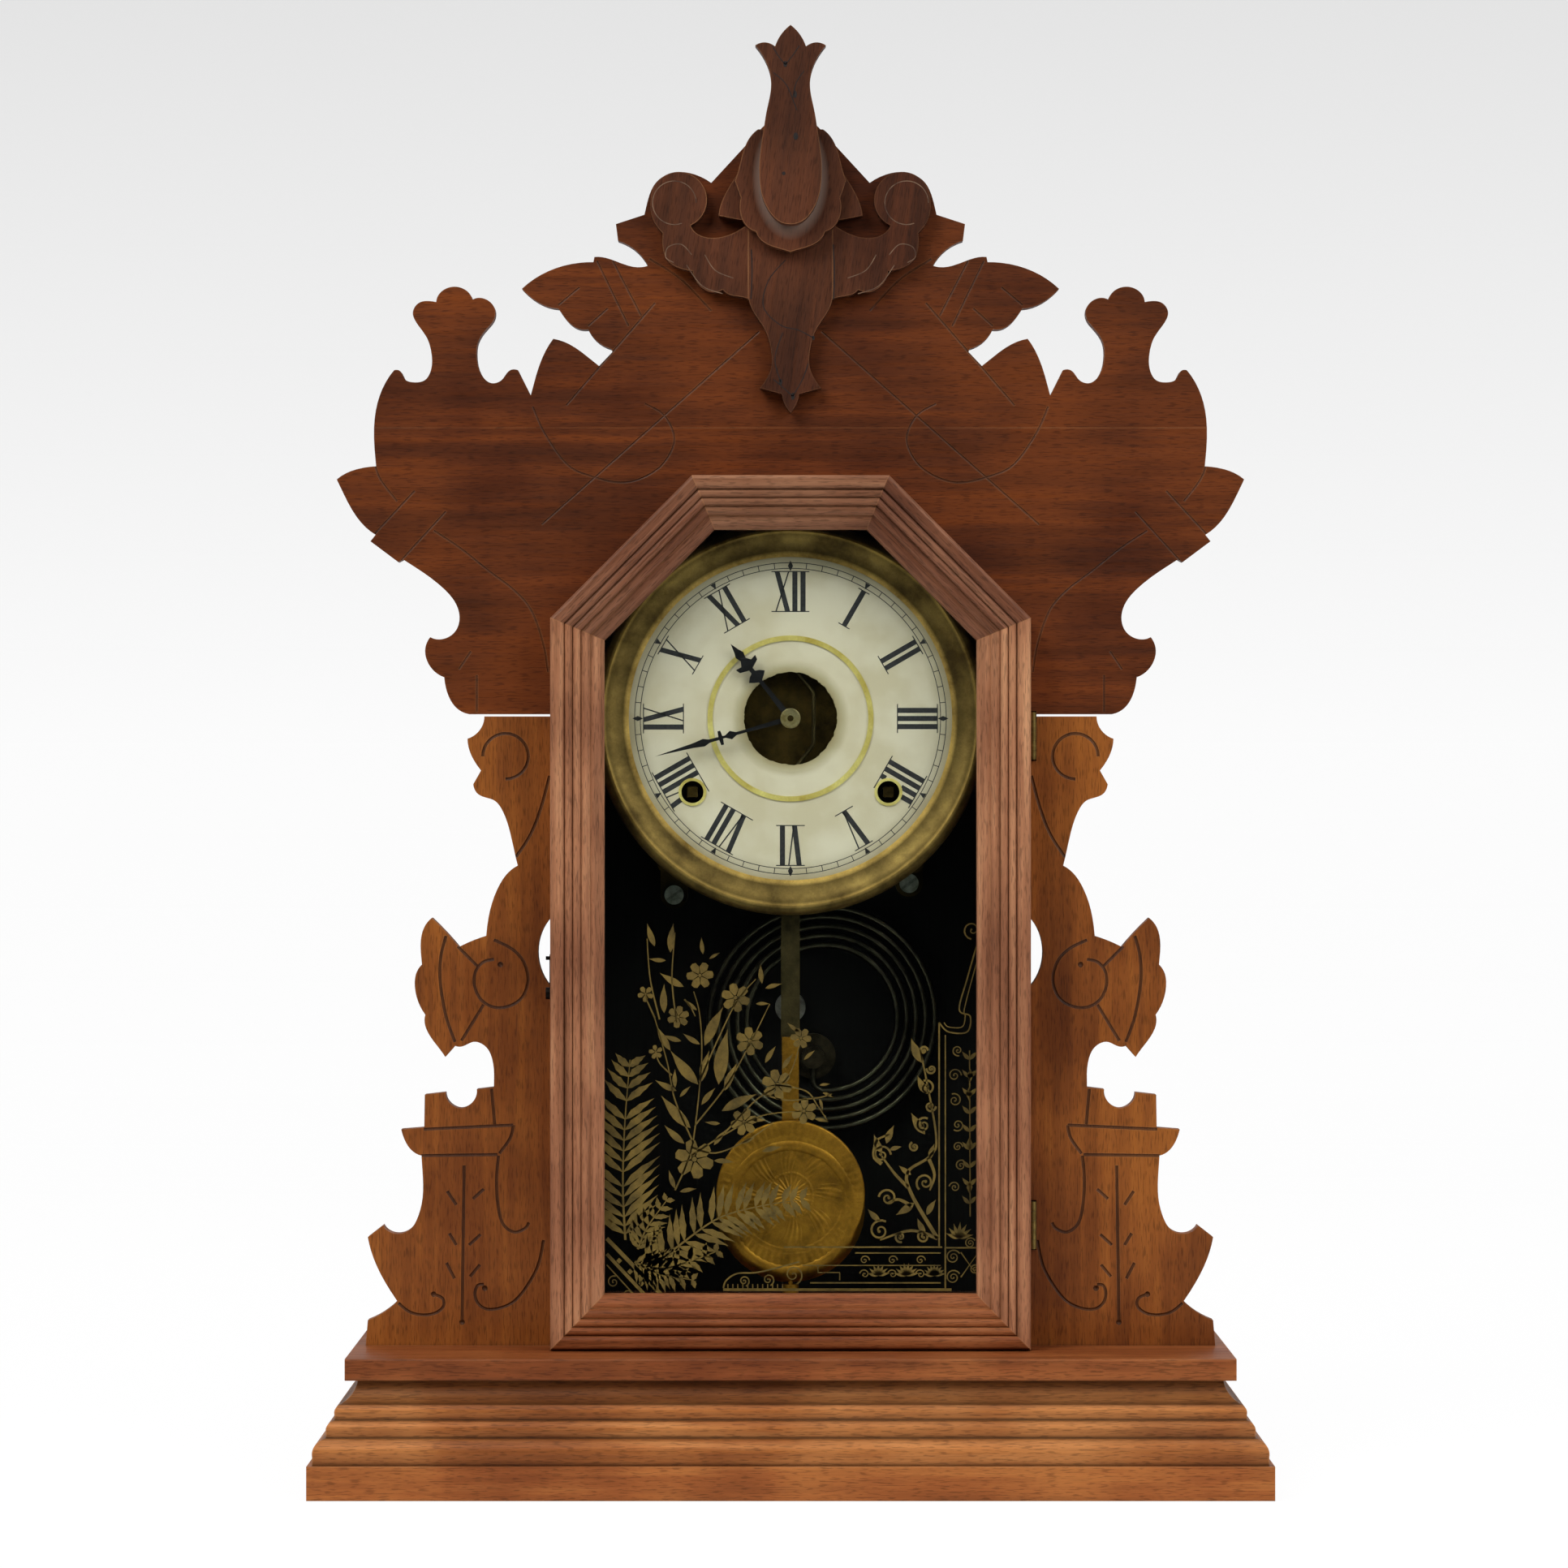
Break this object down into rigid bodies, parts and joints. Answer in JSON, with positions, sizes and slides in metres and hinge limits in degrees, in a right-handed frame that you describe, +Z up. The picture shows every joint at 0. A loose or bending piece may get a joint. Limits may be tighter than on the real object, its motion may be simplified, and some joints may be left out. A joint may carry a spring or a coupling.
{
  "type": "gingerbread shelf clock",
  "caption": "Carved wooden shelf clock: stepped base, scrolled side panels and crest, glazed octagonal door, round dial, wheel movement, pendulum and wire gong.",
  "frame": {"origin": "centre of the plinth's rectangle, on the face that it stands on", "axes": "+Z up, -Y to the front, out of the dial, +X to the right as seen from the front"},
  "size_m": [0.3626, 0.122, 0.5586],
  "materials": {
    "walnut_crest": "satin varnish over dark walnut",
    "walnut_panel": "satin varnish over walnut",
    "walnut_door": "satin varnish over walnut",
    "walnut_base": "satin varnish over walnut",
    "pine_case": "stained softwood",
    "pane_glass": "clear polished",
    "hinge_brass": "tarnished",
    "dial_brass": "aged polished",
    "dial_tin": "dull",
    "dial_paper": "matt paper",
    "hand_steel": "blackened steel",
    "movement_brass": "machined",
    "movement_steel": "dark steel",
    "bob_brass": "polished, embossed",
    "gong_steel": "blued wire",
    "gong_iron": "japanned"
  },
  "bodies": {
    "case": {"plinth_boards": "walnut_base", "base_mouldings": "walnut_base", "base_back_rail": "pine_case", "base_deck": "walnut_base", "case_sides_and_top": "pine_case", "backboard": "pine_case", "crest_upper_board": "walnut_crest", "crest_lower_board": "walnut_crest", "side_panel_right": "walnut_panel", "side_panel_left": "walnut_panel", "volute_wings": "walnut_crest", "crest_drop": "walnut_crest", "flare_shield": "walnut_crest", "scalloped_collar": "walnut_crest", "tulip_finial": "walnut_crest", "hinge_case_leaves_and_pins": "hinge_brass", "catch_pin": "hinge_brass", "dial_bezel": "dial_brass", "dial_plate": "dial_tin", "dial_paper": "dial_paper", "dial_trim_rings": "dial_brass", "movement_front_plate": "movement_brass", "movement_back_plate": "movement_brass", "pillars_and_dial_posts": "movement_brass", "movement_feet": "movement_brass", "foot_screws": "movement_steel", "mainsprings": "movement_steel", "suspension_post": "movement_brass", "gong_coil": "gong_steel", "gong_post": "gong_iron"},
    "door": {"door_bottom_rail": "walnut_door", "door_stile_right": "walnut_door", "door_corner_right": "walnut_door", "door_top_rail": "walnut_door", "door_corner_left": "walnut_door", "door_stile_left": "walnut_door", "door_glass": "pane_glass", "glass_beads": "pine_case", "hinge_door_leaves": "hinge_brass", "latch_screw": "hinge_brass"},
    "latch": {"latch_hook": "hinge_brass"},
    "minute_arbor": {"centre_wheel": "movement_brass", "minute_hand": "hand_steel", "hand_nut": "dial_brass"},
    "hour_pipe": {"hour_wheel": "movement_brass", "hour_hand": "hand_steel"},
    "motion_wheel": {"minute_wheel": "movement_brass"},
    "time_second_arbor": {"time_second_wheel": "movement_brass"},
    "time_great_arbor": {"time_great_wheel": "movement_brass"},
    "third_arbor": {"third_wheel": "movement_brass"},
    "escape_arbor": {"escape_wheel": "movement_brass"},
    "strike_third_arbor": {"strike_third_wheel": "movement_brass"},
    "strike_second_arbor": {"strike_second_wheel": "movement_brass"},
    "strike_great_arbor": {"strike_great_wheel": "movement_brass"},
    "fly_arbor": {"fly": "movement_brass"},
    "pendulum": {"pendulum_rod": "movement_steel", "pendulum_bob": "bob_brass", "rating_nut": "bob_brass"},
    "verge": {"verge_and_crutch": "movement_steel"},
    "hammer": {"strike_hammer": "movement_steel"}
  },
  "joints": [
    {"name": "door_hinge", "type": "hinge", "parent": "case", "child": "door", "pos_m": [0.0936, -0.0039, 0.21895], "axis": [0, 0, 1], "range_deg": [0, 95]},
    {"name": "latch_turn", "type": "hinge", "parent": "door", "child": "latch", "pos_m": [-0.09195, -0.008, 0.1877], "axis": [-1, 0, 0], "range_deg": [-120, 38.5]},
    {"name": "minute_turn", "type": "hinge", "parent": "case", "child": "minute_arbor", "pos_m": [0, 0.03, 0.2937], "axis": [0, 1, 0], "continuous": true},
    {"name": "hour_turn", "type": "hinge", "parent": "case", "child": "hour_pipe", "pos_m": [0, 0.03, 0.2937], "axis": [0, 1, 0], "continuous": true},
    {"name": "motion_wheel_turn", "type": "hinge", "parent": "case", "child": "motion_wheel", "pos_m": [0, 0.03, 0.2777], "axis": [0, 1, 0], "continuous": true},
    {"name": "time_second_turn", "type": "hinge", "parent": "case", "child": "time_second_arbor", "pos_m": [0.02164, 0.03, 0.28792], "axis": [0, 1, 0], "continuous": true},
    {"name": "time_great_turn", "type": "hinge", "parent": "case", "child": "time_great_arbor", "pos_m": [0.038, 0.03, 0.2652], "axis": [0, 1, 0], "continuous": true},
    {"name": "third_turn", "type": "hinge", "parent": "case", "child": "third_arbor", "pos_m": [0.01389, 0.03, 0.30985], "axis": [0, 1, 0], "continuous": true},
    {"name": "escape_turn", "type": "hinge", "parent": "case", "child": "escape_arbor", "pos_m": [0, 0.03, 0.326], "axis": [0, 1, 0], "continuous": true},
    {"name": "strike_third_turn", "type": "hinge", "parent": "case", "child": "strike_third_arbor", "pos_m": [-0.03411, 0.03, 0.31683], "axis": [0, 1, 0], "continuous": true},
    {"name": "strike_second_turn", "type": "hinge", "parent": "case", "child": "strike_second_arbor", "pos_m": [-0.04286, 0.03, 0.29278], "axis": [0, 1, 0], "continuous": true},
    {"name": "strike_great_turn", "type": "hinge", "parent": "case", "child": "strike_great_arbor", "pos_m": [-0.038, 0.03, 0.2652], "axis": [0, 1, 0], "continuous": true},
    {"name": "fly_turn", "type": "hinge", "parent": "case", "child": "fly_arbor", "pos_m": [-0.02059, 0.03, 0.3263], "axis": [0, 1, 0], "continuous": true},
    {"name": "pendulum_swing", "type": "hinge", "parent": "case", "child": "pendulum", "pos_m": [0, 0.0108, 0.345], "axis": [0, 1, 0], "range_deg": [-3, 3]},
    {"name": "verge_swing", "type": "hinge", "parent": "case", "child": "verge", "pos_m": [0, 0.0134, 0.345], "axis": [0, 1, 0], "range_deg": [-3, 3]},
    {"name": "hammer_swing", "type": "hinge", "parent": "case", "child": "hammer", "pos_m": [-0.003, 0.03, 0.24], "axis": [0, 1, 0], "range_deg": [-12, 8]}
  ],
  "couplings": [
    {"joint": "hour_turn", "follows": "minute_turn", "ratio": 0.083333},
    {"joint": "motion_wheel_turn", "follows": "minute_turn", "ratio": -0.33333},
    {"joint": "time_second_turn", "follows": "minute_turn", "ratio": -0.16667},
    {"joint": "time_great_turn", "follows": "minute_turn", "ratio": 0.027778},
    {"joint": "third_turn", "follows": "minute_turn", "ratio": -9.1429},
    {"joint": "escape_turn", "follows": "minute_turn", "ratio": 83.592},
    {"joint": "strike_second_turn", "follows": "strike_third_turn", "ratio": -0.14286},
    {"joint": "strike_great_turn", "follows": "strike_third_turn", "ratio": 0.02381},
    {"joint": "fly_turn", "follows": "strike_third_turn", "ratio": -6.8571},
    {"joint": "verge_swing", "follows": "pendulum_swing", "ratio": 1}
  ]
}
